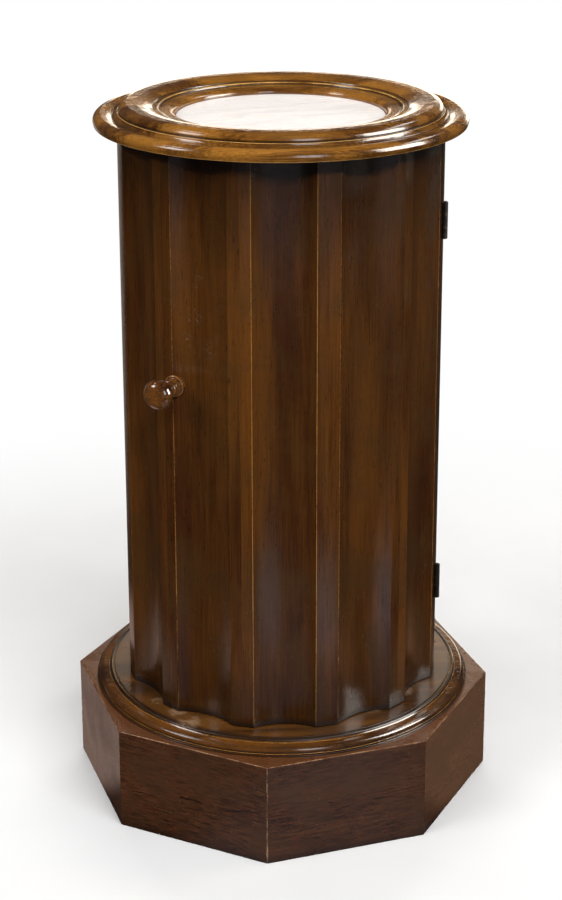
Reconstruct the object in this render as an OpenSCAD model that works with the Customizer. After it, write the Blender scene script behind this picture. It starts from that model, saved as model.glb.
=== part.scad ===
// Cylindrical pedestal cupboard on an octagonal plinth, with a coopered door and an inset marble top.
// Millimetres, +Z up. The origin is on the floor, on the axis of the body. The front faces -Y.
// An azimuth is counted from the front, -Y, and grows towards +X.

/* [Plinth] */
// Width of the plinth across its flats
plinth_w = 418; // [416:1:440]
// Height of the plinth
plinth_h = 110.6; // [100:0.2:120]
// Thickness of the mitred plinth boards
plinth_t = 20; // [18:1:22]
// Thickness of the deck let in between the plinth boards
deck_t = 18; // [15:1:20]
// Height of the corner glue blocks
block_h = 50; // [30:1:60]
// Length of a glue block along each board
block_leg = 32; // [20:1:40]

/* [Turned base] */
// Thickness of the turned base, up to the foot of the body
base_t = 12.8; // [12.4:0.2:16]
// Radius of the thin fillet under the roll
base_r = 204.3; // [203.5:0.1:206]
// Height of the thin fillet under the roll
base_fillet_h = 1.6; // [1:0.2:2]
// Outer radius of the roll
base_roll_r = 201.6; // [201:0.1:202.5]
// Radius of the roll's rounding
base_roll_round = 3.6; // [3.2:0.1:3.8]
// Middle radius of the bead inside the roll
base_bead_r = 188.7; // [188:0.1:189.2]

/* [Body] */
// Radius over the fillets of the body
body_r = 169.2; // [168:0.2:170]
// Height of the underside of the top moulding
body_top = 727; // [700:1:760]
// Depth of a flute below the radius of the fillets
flute_d = 11.4; // [9:0.2:12.5]
// Share of each stave's arc that the flute takes
flute_share = 0.73; // [0.65:0.01:0.8]
// Distance from the axis to the flat inner face of a stave
stave_in = 141; // [140:0.5:142]
// How far the body stands turned on its plinth
body_turn = -2.6; // [-6:0.1:6]

/* [Door] */
// Gap above and below the door
door_gap = 1.5; // [1:0.1:3]
// Gap between the door's edges and the body
edge_gap = 0.8; // [0.6:0.1:1.2]
// Height of the middle of the lower ledge
ledge_low_z = 172; // [160:1:200]
// Height of the middle of the upper ledge
ledge_high_z = 668; // [640:1:680]
// Height of a ledge
ledge_h = 22; // [16:1:30]
// Inner radius of a ledge
ledge_r = 128; // [124:1:132]

/* [Top] */
// Outer radius of the top moulding
top_r = 192.1; // [190:0.1:194]
// Height of the crest, the highest line of the cupboard
top_crest_z = 750; // [748:0.5:752]
// Radius of the crest
top_crest_r = 153.2; // [152:0.1:154]
// Height of the marble's upper face
marble_z = 734.6; // [733:0.2:736]
// Radius of the marble
marble_r = 107.4; // [105:0.1:108]
// Thickness of the marble
marble_t = 12; // [9:0.5:14]

/* [Knob and latch] */
// Height of the knob's axis
knob_z = 486.5; // [300:0.5:600]
// Sideways place of the knob's axis on its stave
knob_x = -30; // [-31:0.5:-26]
// Radius of the knob's head
knob_r = 15.5; // [13:0.5:17]
// Radius of the knob's collar
collar_r = 11; // [10:0.2:11.4]
// Radius of the spindle
spindle_r = 3; // [2.5:0.1:3.5]
// Reach of the latch tongue from the spindle's axis
tongue_reach = 22; // [18:1:23]

/* [Hinges] */
// Height of the middle of the upper hinge
hinge_high_z = 633.5; // [560:0.5:640]
// Height of the middle of the lower hinge
hinge_low_z = 233.5; // [220:0.5:300]
// Length of a hinge
hinge_len = 38; // [34:1:44]
// Radius of the knuckle
knuckle_r = 3.1; // [2.8:0.1:3.4]
// Distance of the pin beyond the body's radius
pin_out = 2.7; // [2.4:0.1:3]
// Radius of the hinge pin
pin_r = 1.25; // [1:0.05:1.4]
// Width of a leaf from the pin's axis
leaf_w = 22; // [18:1:24]
// Thickness of a leaf
leaf_t = 1.2; // [1:0.1:1.4]

/* [Inside] */
// Thickness of the cupboard floor
floor_t = 12; // [10:1:16]
// Thickness of the shelf
shelf_t = 14; // [10:1:18]
// Height of the shelf's upper face
shelf_z = 418; // [360:1:460]
// Thickness of the cupboard ceiling
ceiling_t = 18; // [14:1:20]
// Radius of the round front edge of the floor, shelf and ceiling
board_r = 138; // [136:0.5:138.5]

/* [Hidden] */

$fn = 96;
facets = 8;                                   // sides of the plinth
facet_turn = 360 / facets;
stave_turn = 30;                              // twelve staves round the body
half_stave = stave_turn / 2;
door_half = 60;                               // the door takes four staves
fit = 0.3;                                    // gap between pieces that move past each other
far = 400;                                    // longer than anything the cutting shapes must clear
wall_reach = 20;                              // how far cutting shapes run past a wall

// Plinth and base
plinth_in = plinth_w / 2 - plinth_t;          // centre to the inner face of a plinth board
deck_z = plinth_h - deck_t;
body_z = plinth_h + base_t;                   // foot of the body
base_crown_round = 11;                        // large arc over the top of the roll
base_crown_x = 195.2;                         // where the roll is highest
base_roll_in = 190;                           // inner edge of the roll
roll_sink = 0.2;                              // how far the rounding sinks into the fillet under it
crown_sink = 0.1;
bead_round = 1.9;
bead_drop = 0.6;                              // the bead lies this far under the floor of the base
quirk_w = 0.6;                                // groove inside the bead
quirk_out = 0.6;                              // floor of the groove outside the bead
base_screw_r = 100;

// Flute: an arc through both arrises and the lowest point
flute_half = half_stave * flute_share;
chord_half = body_r * sin(flute_half);
chord_y = body_r * cos(flute_half);
flute_sag = chord_y - (body_r - flute_d);
flute_r = (chord_half * chord_half + flute_sag * flute_sag) / (2 * flute_sag);
flute_y = body_r - flute_d + flute_r;         // centre of the flute's arc

// Boards inside the body
floor_z = body_z;
ceiling_z = marble_z - marble_t - ceiling_t;  // underside of the ceiling
bearer_h = 14;
bearer_t = 12;
bearer_w = 44;
bearer_places = [105, 165, 195, 255];
stop_t = 8;
stop_w = 16;
stop_lap = 8;                                 // how far a strip reaches behind the door
stop_clear = 0.6;
stop_gap = 40;                                // the upper strip starts this far above the knob's axis
floor_top = floor_z + floor_t;

// Top moulding
outer_roll_r = 5.7;
outer_roll_z = 732.7;
outer_crown_r = 40;                           // large arc over the top of the roll
groove_r = 172.3;                             // groove between the roll and the cove
groove_z = 735.8;
cove_r = 4.6;
step_out = 167.6;                             // small flat step above the cove
step_in = 165.5;
step_z = 741.2;
crest_round = 13;                             // convex shoulder outside the crest
dish_slope = 13.3;                            // degrees, down from the crest to the inner bead
dish_foot = [131.2, 745];
rim_bead = [127, 741.6];
rim_bead_round = 2.4;
rim_quirk_out = [129.9, 743.4];               // small grooves on both sides of the inner bead
rim_quirk_in = [122.9, 742.3];
lip_round = 6.5;                              // quarter-round lip beside the marble
lip_z = 734.7;
lip_sink = 0.1;
spigot_r = 137.5;                             // part of the moulding that drops inside the staves
spigot_h = 10;
marble_gap = 0.4;
top_screw_r = 122;

// Door
door_z = body_z + door_gap;
door_top = body_top - door_gap;
door_places = [-45, -15, 15, 45];
hinge_turn = body_turn + door_half;           // azimuth of the hinge pins
pin_y = body_r + pin_out;

// Hinges
knuckles = 5;
knuckle_gap = 0.2;
leaf_slack = 0.15;                            // each leaf stands this far off the joint plane
leaf_root = 3.45;                             // the leaf's plate begins this far inside the pin's axis
pin_head = 0.6;                               // thickness of the pin's ends
pin_head_r = 2.2;
pin_fit = 0.05;
hinge_screw_dz = 12.5;
hinge_screw_in = 12.76;                       // from the pin's axis to the row of screws

// Knob: radii and heights above its seat
knob_seat = 161;                              // the knob's seat, from the body's axis
foot_h = 4.4;
collar_round = 1.8;
collar_mid = 5.6;
neck_r = 5.6;
neck_bead = [6.2, 16];
neck_bead_round = 2.2;
head_back = [9.5, 28.2];                      // where the flared back of the head begins
head_mid = 36;
head_round = 8.5;
head_crown_round = 22;
head_crown_h = 10;                            // the front's crown above the middle of the head
knob_bore_h = 26.5;

// Latch, in the frame of the first door stave
latch_turn = body_turn + door_places[0];
spindle_in_knob = 26;
spindle_end = 1.5;                            // the spindle's thread past the nut
plate_w = 22;
plate_h = 30;
plate_in = 6;                                 // from the plate's edge to the spindle's axis
plate_screw_dx = 11;
plate_screw_dz = 10;
plate_t = 1.5;
tongue_t = 2;
tongue_w = 11;
tongue_y = stave_in - plate_t - fit;          // outer face of the tongue
nut_t = 4;
nut_r = 5.6;
keeper_back = 141.1;                          // the keeper stands in the plane of the door's inner face
pocket_w = [-59, -37.9];                      // sideways reach of the keeper's pocket
pocket_drop = tongue_reach + 2;
pocket_rise = tongue_w / 2 + 2.5;
pocket_open = 8;                              // the pocket runs out through the stave's edge
keeper_gap = 0.6;
keeper_screw_dx = 7;
keeper_screw_dz = 5;

// Screws: head radius, shank radius
wood_head = 3.6;
wood_shank = 2;
small_head = 2.8;
small_shank = 1.4;
screw_gap = 0.05;
screw_room = 0.4;                             // each hole is this much deeper than its screw
base_screw_len = 38;
top_screw_len = 30;
ledge_screw_len = 19;
ledge_screw_in = 1.2;                         // screw heads lie this deep in the ledges
hinge_screw_len = 13;
guide_screw_len = 10;
keeper_screw_len = 8;

// Woods and metals
mahogany = "#4a2a1a";
mahogany_dark = "#3b2116";
polished_top = "#8a5426";
old_oak = "#8b6b48";
marble_white = "#ece7df";
old_brass = "#7d6740";
dark_brass = "#4a4034";
steel = "#8c8f92";

// ---------------------------------------------------------------- helpers

// Turns children that are drawn on the front, -Y, to an azimuth
module facing(azimuth) {
    rotate([0, 0, azimuth]) children();
}

// Wedge that holds the door's share of the arc, widened by extra degrees on both sides
module door_sector(h, extra = 0) {
    a = door_half + extra;
    facing(body_turn)
        linear_extrude(h)
            polygon([[0, 0], [-far * sin(a), -far * cos(a)], [-far * sin(a), -far],
                     [far * sin(a), -far], [far * sin(a), -far * cos(a)]]);
}

// Twelve-sided prism that fits inside the staves
module inner_prism(h) {
    facing(body_turn + half_stave)
        rotate([0, 0, half_stave])
            cylinder(r = stave_in / cos(half_stave), h = h, $fn = 12);
}

// Flat board inside the body: tight against the fixed staves, round and free behind the door
module inside_board(h) {
    difference() {
        inner_prism(h);
        difference() {
            translate([0, 0, -1]) door_sector(h + 2, 1);
            translate([0, 0, -2]) cylinder(r = board_r, h = h + 4);
        }
    }
}

// Countersunk wood screw, head at z = 0, point towards +Z
module screw(head, shank, len) {
    cone = head - shank;
    cylinder(r1 = head, r2 = shank, h = cone);
    translate([0, 0, cone]) cylinder(r = shank, h = len - cone - shank);
    translate([0, 0, len - shank]) cylinder(r1 = shank, r2 = shank / 4, h = shank);
}

// Hole that clears the screw above, open for `deep` before its head
module screw_hole(head, shank, len, deep = 1) {
    cone = head - shank;
    translate([0, 0, -deep]) cylinder(r = head + screw_gap, h = deep);
    cylinder(r1 = head + screw_gap, r2 = shank + screw_gap, h = cone);
    cylinder(r = shank + screw_gap, h = len + screw_room);
}

// ---------------------------------------------------------------- plinth

module plinth_board(i) {
    half_out = plinth_w / 2 * tan(facet_turn / 2);
    half_in = plinth_in * tan(facet_turn / 2);
    color(mahogany_dark)
        facing((i - 1) * facet_turn)
            linear_extrude(plinth_h)
                polygon([[-half_out, -plinth_w / 2], [half_out, -plinth_w / 2],
                         [half_in, -plinth_in], [-half_in, -plinth_in]]);
}

module plinth_deck() {
    color(old_oak)
        difference() {
            translate([0, 0, deck_z])
                rotate([0, 0, facet_turn / 2])
                    cylinder(r = plinth_in / cos(facet_turn / 2), h = deck_t, $fn = facets);
            base_screw_places() screw_hole(wood_head, wood_shank, base_screw_len);
        }
}

// One block in each inner corner, its two long faces against the boards
module plinth_glue_blocks() {
    corner_r = plinth_in / cos(facet_turn / 2);
    color(old_oak)
        for (i = [0:facets - 1])
            facing((i + 0.5) * facet_turn)
                translate([0, -corner_r, deck_z - block_h])
                    linear_extrude(block_h)
                        polygon([[0, 0],
                                 [block_leg * cos(facet_turn / 2), block_leg * sin(facet_turn / 2)],
                                 [-block_leg * cos(facet_turn / 2), block_leg * sin(facet_turn / 2)]]);
}

// ---------------------------------------------------------------- turned base

module base_screw_places() {
    for (a = [45:90:315])
        facing(a) translate([0, -base_screw_r, deck_z]) children();
}

// Section of the base: floor under the body, quirk, bead, roll and bottom fillet
module base_section() {
    roll_x = base_roll_r - base_roll_round;
    roll_z = base_fillet_h + base_roll_round - roll_sink;
    bead_z = base_t - bead_drop - bead_round;
    crown_z = roll_z + base_roll_round - base_crown_round - crown_sink;
    square([base_bead_r - bead_round - quirk_w, base_t]);
    square([base_roll_in + quirk_out, bead_z]);
    translate([base_bead_r, bead_z]) circle(bead_round);
    square([base_r, base_fillet_h]);
    square([roll_x, roll_z]);
    translate([roll_x, roll_z]) circle(base_roll_round);
    intersection() {
        translate([base_crown_x, crown_z]) circle(base_crown_round);
        translate([base_roll_in, 0]) square([roll_x - base_roll_in, base_t]);
    }
}

module turned_base() {
    color(mahogany)
        difference() {
            translate([0, 0, plinth_h]) rotate_extrude() base_section();
            base_screw_places() screw_hole(wood_head, wood_shank, base_screw_len);
        }
}

module base_screws() {
    color(steel) base_screw_places() screw(wood_head, wood_shank, base_screw_len);
}

// ---------------------------------------------------------------- staves

// One fluted stave on the front, between two radial planes, with a flat inner face
module stave(z0, z1, trim_left = 0, trim_right = 0) {
    h = z1 - z0;
    reach = body_r + wall_reach;
    difference() {
        intersection() {
            translate([0, 0, z0]) cylinder(r = body_r, h = h);
            translate([0, 0, z0])
                linear_extrude(h)
                    polygon([[0, 0], [-reach * tan(half_stave), -reach], [reach * tan(half_stave), -reach]]);
            translate([-far / 2, -reach, z0]) cube([far, reach - stave_in, h]);
        }
        translate([0, -flute_y, z0 - 1]) cylinder(r = flute_r, h = h + 2);
        if (trim_left > 0) edge_trim(-half_stave, -1, trim_left, z0, h);
        if (trim_right > 0) edge_trim(half_stave, 1, trim_right, z0, h);
    }
}

// Slice taken off a stave's edge, so that the door has its gap
module edge_trim(azimuth, side, amount, z0, h) {
    facing(azimuth)
        translate([side > 0 ? -amount : -1, -far, z0 - 1])
            cube([amount + 1, far, h + 2]);
}

// Fixed stave i: the first one stands beside the hinges, the last beside the knob
module carcase_stave(i) {
    place = door_half + (i - 0.5) * stave_turn;
    trim = edge_gap / 2;
    color(mahogany)
        difference() {
            facing(body_turn + place)
                stave(body_z, body_top, i == 1 ? trim : 0, i == 8 ? trim : 0);
            if (i == 1) hinge_cuts(1);
            if (i == 8) latch_pocket();
        }
}

module door_stave(i) {
    trim = edge_gap / 2;
    color(mahogany)
        difference() {
            facing(body_turn + door_places[i - 1])
                stave(door_z, door_top, i == 1 ? trim : 0, i == 4 ? trim : 0);
            if (i == 1) latch_bore();
            if (i == 4) hinge_cuts(-1);
            ledge_screw_places() screw_hole(small_head, small_shank, ledge_screw_len);
        }
}

// ---------------------------------------------------------------- inside

module cupboard_floor() {
    color(old_oak)
        difference() {
            translate([0, 0, floor_z]) inside_board(floor_t);
            base_screw_places() screw_hole(wood_head, wood_shank, base_screw_len);
        }
}

module shelf() {
    color(old_oak) translate([0, 0, shelf_z - shelf_t]) inside_board(shelf_t);
}

module shelf_bearer(i) {
    color(old_oak)
        facing(body_turn + bearer_places[i - 1])
            translate([-bearer_w / 2, -stave_in, shelf_z - shelf_t - bearer_h])
                cube([bearer_w, bearer_t, bearer_h]);
}

// Strip on the last fixed stave that reaches behind the door's free edge
module door_stop(z0, z1) {
    color(old_oak)
        facing(body_turn - door_half)
            translate([0, 0, z0])
                linear_extrude(z1 - z0)
                    polygon([[-stop_w, -inner_y(stop_w)], [0, -inner_y(0)],
                             [0, -inner_y(0) + stop_clear], [stop_lap, -inner_y(stop_lap) + stop_clear],
                             [stop_lap, -inner_y(stop_lap) + stop_t], [-stop_w, -inner_y(stop_w) + stop_t]]);
}

// Distance out to the inner faces, x to either side of a joint between two staves
function inner_y(x) = stave_in / cos(half_stave) - x * tan(half_stave);

module cupboard_ceiling() {
    color(old_oak)
        difference() {
            translate([0, 0, ceiling_z]) inside_board(ceiling_t);
            top_screw_places() screw_hole(wood_head, wood_shank, top_screw_len);
        }
}

// ---------------------------------------------------------------- top

module top_screw_places() {
    for (a = [45:90:315])
        facing(a) translate([0, -top_screw_r, ceiling_z]) children();
}

// Section of the top moulding, from the marble's edge out to the roll
module top_section() {
    in_r = marble_r + marble_gap;
    roll_x = top_r - outer_roll_r;
    crest_z = top_crest_z - crest_round;
    slope = [top_crest_r - crest_round * sin(dish_slope), crest_z + crest_round * cos(dish_slope)];
    // spigot inside the staves
    translate([in_r, marble_z - marble_t]) square([spigot_r - in_r, spigot_h]);
    // core, from the lip up the dished slope to the crest
    polygon([[in_r, body_top], [roll_x, body_top], [roll_x, outer_roll_z], [groove_r, groove_z],
             [step_out, groove_z], [step_out, step_z], [step_in, step_z], [top_crest_r, crest_z + 1],
             slope, dish_foot, rim_quirk_out, rim_bead + [1, 1], rim_bead - [3, 0], rim_quirk_in,
             [in_r + lip_round, lip_z + lip_round - lip_sink], [in_r, lip_z]]);
    translate([in_r + lip_round, lip_z]) circle(lip_round);
    translate(rim_bead) circle(rim_bead_round);
    intersection() {
        translate([top_crest_r, crest_z]) circle(crest_round);
        translate([slope[0], crest_z]) square(2 * crest_round);
    }
    // cove between the step and the groove
    difference() {
        translate([step_out, groove_z - 1]) square([groove_r - step_out, step_z - groove_z + 1]);
        translate([groove_r, groove_z + cove_r]) circle(cove_r);
        translate([groove_r - 0.1, groove_z + 2]) square(2 * cove_r);
    }
    // roll: a tight round outside, a flatter arc over its top
    translate([roll_x, outer_roll_z]) circle(outer_roll_r);
    intersection() {
        translate([roll_x, outer_roll_z + outer_roll_r - outer_crown_r]) circle(outer_crown_r);
        translate([groove_r, body_top + 1]) square([roll_x - groove_r, 2 * outer_roll_r]);
    }
}

module top_moulding() {
    color(polished_top)
        difference() {
            rotate_extrude() top_section();
            top_screw_places() screw_hole(wood_head, wood_shank, top_screw_len);
        }
}

module marble_top() {
    color(marble_white)
        translate([0, 0, marble_z - marble_t]) cylinder(r = marble_r, h = marble_t);
}

module top_screws() {
    color(steel) top_screw_places() screw(wood_head, wood_shank, top_screw_len);
}

// ---------------------------------------------------------------- door

// Shaped batten behind the door: its outer faces fit the four staves, its inner face is round
module door_ledge(z) {
    color(old_oak)
        difference() {
            intersection() {
                translate([0, 0, z - ledge_h / 2]) inner_prism(ledge_h);
                translate([0, 0, z - ledge_h / 2]) door_sector(ledge_h, -8);
            }
            translate([0, 0, z - ledge_h / 2 - 1]) cylinder(r = ledge_r, h = ledge_h + 2);
            ledge_screw_places() screw_hole(small_head, small_shank, ledge_screw_len, 4);
        }
}

// One screw through each ledge into the middle of each stave
module ledge_screw_places() {
    for (z = [ledge_low_z, ledge_high_z])
        for (a = door_places)
            facing(body_turn + a)
                translate([0, -ledge_r - ledge_screw_in, z])
                    rotate([90, 0, 0]) children();
}

module ledge_screws() {
    color(steel) ledge_screw_places() screw(small_head, small_shank, ledge_screw_len);
}

// ---------------------------------------------------------------- hinges

function knuckle_z(k) = -hinge_len / 2 + k * hinge_len / knuckles;

// side -1 is the door's leaf, side 1 the body's; the body's leaf owns knuckles 0, 2 and 4
module hinge_leaf(z, side) {
    knuckle_len = hinge_len / knuckles - knuckle_gap;
    plate_x = side > 0 ? leaf_slack : -leaf_slack - leaf_t;
    root = pin_y - leaf_root;
    first = side > 0 ? 0 : 1;
    color(old_brass)
        difference() {
            facing(hinge_turn)
                translate([0, 0, z])
                    union() {
                        translate([plate_x, -root, -hinge_len / 2])
                            cube([leaf_t, root - (pin_y - leaf_w), hinge_len]);
                        for (k = [first:2:knuckles - 1]) {
                            translate([0, -pin_y, knuckle_z(k) + knuckle_gap / 2])
                                cylinder(r = knuckle_r, h = knuckle_len);
                            translate([plate_x, -pin_y, knuckle_z(k) + knuckle_gap / 2])
                                cube([leaf_t, pin_y - root + 1, knuckle_len]);
                        }
                    }
            facing(hinge_turn)
                translate([0, -pin_y, z - hinge_len]) cylinder(r = pin_r + pin_fit, h = 2 * hinge_len);
            hinge_screw_places(side) screw_hole(small_head, small_shank, hinge_screw_len);
        }
}

module hinge_pin(z) {
    color(dark_brass)
        facing(hinge_turn)
            translate([0, -pin_y, z - hinge_len / 2 - pin_head]) {
                cylinder(r = pin_r, h = hinge_len + 2 * pin_head);
                cylinder(r = pin_head_r, h = pin_head);
                translate([0, 0, hinge_len + pin_head]) cylinder(r = pin_head_r, h = pin_head);
            }
}

// Three screws through each leaf, square to the joint plane
module hinge_screw_places(side) {
    for (z = [hinge_low_z, hinge_high_z])
        for (dz = [-hinge_screw_dz, 0, hinge_screw_dz])
            facing(hinge_turn)
                translate([side * leaf_slack, -pin_y + hinge_screw_in, z + dz])
                    rotate([0, side * 90, 0]) children();
}

module hinge_screws(side) {
    color(old_brass) hinge_screw_places(side) screw(small_head, small_shank, hinge_screw_len);
}

// What the hinges take out of the stave beside them
module hinge_cuts(side) {
    for (z = [hinge_low_z, hinge_high_z])
        facing(hinge_turn) {
            translate([side > 0 ? -1 : -leaf_slack - leaf_t, -body_r - 1, z - hinge_len / 2])
                cube([leaf_slack + leaf_t + 1, body_r + 1 - (pin_y - leaf_w), hinge_len]);
            translate([0, -pin_y, z - hinge_len / 2 - 1])
                cylinder(r = knuckle_r + 0.5, h = hinge_len + 2);
        }
    hinge_screw_places(side) screw_hole(small_head, small_shank, hinge_screw_len);
}

// ---------------------------------------------------------------- knob and latch

// Places children on the knob's axis, at a distance from the body's axis, +Z pointing out of the door
module on_knob_axis(distance) {
    facing(latch_turn)
        translate([knob_x, -distance, knob_z])
            rotate([90, 0, 0]) children();
}

// Section of the knob: foot, collar, neck with its bead, and a flattened head
module knob_section() {
    head_x = knob_r - head_round;
    square([collar_r - 0.8, foot_h]);
    square([collar_r - 2, collar_mid + collar_round - 0.2]);
    translate([collar_r - collar_round, collar_mid]) circle(collar_round);
    square([neck_bead[0], neck_bead[1]]);
    translate(neck_bead) circle(neck_bead_round);
    square([neck_r, head_mid]);
    polygon([[0, head_back[1] - 8], [neck_r, head_back[1] - 7], head_back, [0, head_mid]]);
    translate([head_x, head_mid]) circle(head_round);
    square([head_x, head_mid + head_round]);
    intersection() {
        translate([0, head_mid + head_crown_h - head_crown_round]) circle(head_crown_round);
        translate([0, head_mid]) square([head_x + 4, head_crown_h + 2]);
    }
}

module door_knob() {
    color(mahogany)
        on_knob_axis(knob_seat)
            difference() {
                rotate_extrude()
                    intersection() {
                        knob_section();
                        square(2 * head_mid);
                    }
                translate([0, 0, -1]) cylinder(r = spindle_r, h = knob_bore_h + 1);
            }
}

// Round rod driven into the knob; it carries the tongue behind the door
module latch_spindle() {
    back = tongue_y - tongue_t - nut_t - spindle_end;
    color(steel) on_knob_axis(back) cylinder(r = spindle_r, h = knob_seat + spindle_in_knob - back);
}

// Clearance for the knob's foot, its spindle and the guide plate's screws in the first door stave
module latch_bore() {
    on_knob_axis(knob_seat - fit) cylinder(r = collar_r + 0.4, h = 20);
    on_knob_axis(stave_in - 5) cylinder(r = spindle_r + 0.1, h = 30);
    guide_screw_places() screw_hole(small_head, small_shank, guide_screw_len);
}

module guide_screw_places() {
    for (dz = [-plate_screw_dz, plate_screw_dz])
        facing(latch_turn)
            translate([knob_x + plate_screw_dx, -stave_in + plate_t, knob_z + dz])
                rotate([90, 0, 0]) children();
}

module latch_guide_plate() {
    color(old_brass)
        difference() {
            facing(latch_turn)
                translate([knob_x - plate_in, -stave_in, knob_z - plate_h / 2])
                    cube([plate_w, plate_t, plate_h]);
            on_knob_axis(stave_in - 5) cylinder(r = spindle_r + 0.06, h = 30);
            guide_screw_places() screw_hole(small_head, small_shank, guide_screw_len);
        }
}

module guide_plate_screws() {
    color(old_brass) guide_screw_places() screw(small_head, small_shank, guide_screw_len);
}

// Hangs straight down when the door is free, and lies behind the body's edge when the knob is turned
module latch_tongue() {
    color(old_brass)
        on_knob_axis(tongue_y - tongue_t)
            difference() {
                linear_extrude(tongue_t) union() {
                    circle(tongue_w / 2 + 1);
                    translate([-tongue_w / 2, -tongue_reach + tongue_w / 2])
                        square([tongue_w, tongue_reach - tongue_w / 2]);
                    translate([0, -tongue_reach + tongue_w / 2]) circle(tongue_w / 2);
                }
                translate([0, 0, -1]) cylinder(r = spindle_r, h = tongue_t + 2);
            }
}

module latch_nut() {
    color(steel)
        on_knob_axis(tongue_y - tongue_t - nut_t)
            difference() {
                cylinder(r = nut_r, h = nut_t, $fn = 6);
                translate([0, 0, -1]) cylinder(r = spindle_r, h = nut_t + 2);
            }
}

// Pocket in the last fixed stave, open to the inside, in which the tongue turns
module latch_pocket() {
    facing(latch_turn)
        translate([pocket_w[0] - 1, -keeper_back, knob_z - pocket_drop])
            cube([pocket_w[1] - pocket_w[0] + pocket_open + 1, 2 * wall_reach, pocket_drop + pocket_rise]);
    keeper_screw_places() screw_hole(small_head, small_shank, keeper_screw_len);
}

module keeper_screw_places() {
    for (dz = [keeper_screw_dz - pocket_drop, pocket_rise - keeper_screw_dz])
        facing(latch_turn)
            translate([pocket_w[0] + keeper_screw_dx, -keeper_back + plate_t, knob_z + dz])
                rotate([90, 0, 0]) children();
}

module latch_keeper() {
    color(old_brass)
        difference() {
            facing(latch_turn)
                translate([pocket_w[0], -keeper_back, knob_z - pocket_drop + 1])
                    cube([pocket_w[1] - pocket_w[0] - keeper_gap, plate_t, pocket_drop + pocket_rise - 2]);
            keeper_screw_places() screw_hole(small_head, small_shank, keeper_screw_len);
        }
}

module keeper_screws() {
    color(old_brass) keeper_screw_places() screw(small_head, small_shank, keeper_screw_len);
}

// ---------------------------------------------------------------- one line per node

for (i = [1:8]) {
    plinth_board(i);
    carcase_stave(i);
}
for (i = [1:4]) {
    door_stave(i);
    shelf_bearer(i);
}
plinth_deck();
plinth_glue_blocks();
turned_base();
base_screws();
cupboard_floor();
shelf();
door_stop(knob_z + stop_gap, ceiling_z);  // door_stop_upper
door_stop(floor_top, shelf_z - shelf_t);  // door_stop_lower
cupboard_ceiling();
top_moulding();
marble_top();
top_screws();
door_ledge(ledge_low_z);  // door_ledge_lower
door_ledge(ledge_high_z);  // door_ledge_upper
ledge_screws();
hinge_leaf(hinge_low_z, -1);  // hinge_lower_door_leaf
hinge_leaf(hinge_low_z, 1);  // hinge_lower_body_leaf
hinge_pin(hinge_low_z);  // hinge_lower_pin
hinge_leaf(hinge_high_z, -1);  // hinge_upper_door_leaf
hinge_leaf(hinge_high_z, 1);  // hinge_upper_body_leaf
hinge_pin(hinge_high_z);  // hinge_upper_pin
hinge_screws(-1);  // hinge_screws_door
hinge_screws(1);  // hinge_screws_body
door_knob();
latch_spindle();
latch_guide_plate();
guide_plate_screws();
latch_tongue();
latch_nut();
latch_keeper();
keeper_screws();
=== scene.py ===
import math

import bpy
import numpy as np
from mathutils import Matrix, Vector


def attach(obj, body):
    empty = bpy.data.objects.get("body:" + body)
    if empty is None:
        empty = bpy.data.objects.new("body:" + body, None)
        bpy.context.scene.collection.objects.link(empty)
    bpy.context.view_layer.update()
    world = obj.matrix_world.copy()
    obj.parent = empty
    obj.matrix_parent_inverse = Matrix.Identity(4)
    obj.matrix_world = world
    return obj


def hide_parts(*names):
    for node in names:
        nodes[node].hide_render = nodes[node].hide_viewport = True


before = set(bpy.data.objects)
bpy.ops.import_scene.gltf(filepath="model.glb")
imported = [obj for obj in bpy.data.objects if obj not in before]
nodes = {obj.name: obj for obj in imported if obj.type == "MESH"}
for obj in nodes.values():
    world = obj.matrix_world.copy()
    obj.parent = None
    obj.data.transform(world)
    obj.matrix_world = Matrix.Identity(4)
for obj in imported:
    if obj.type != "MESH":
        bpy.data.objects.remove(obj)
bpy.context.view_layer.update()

mm = 0.001
print("frame loaded:", len(nodes), "nodes")


# Outlines and surfaces, all in millimetres.
#
# Rounds the corners of an outline given as rows of x, y, radius: each arc touches both its sides, and one
# point on each side of it keeps the flats flat in shading. Also returns the bend of every point: above 0
# on arrises, below 0 in hollows, and weaker where the corner turns less than fullTurn or its radius is
# over softRadius.
rounding = dict(softRadius=1.2, fullTurn=1.2, fill=0.98, guardShare=0.4, fade=0.12)


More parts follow.
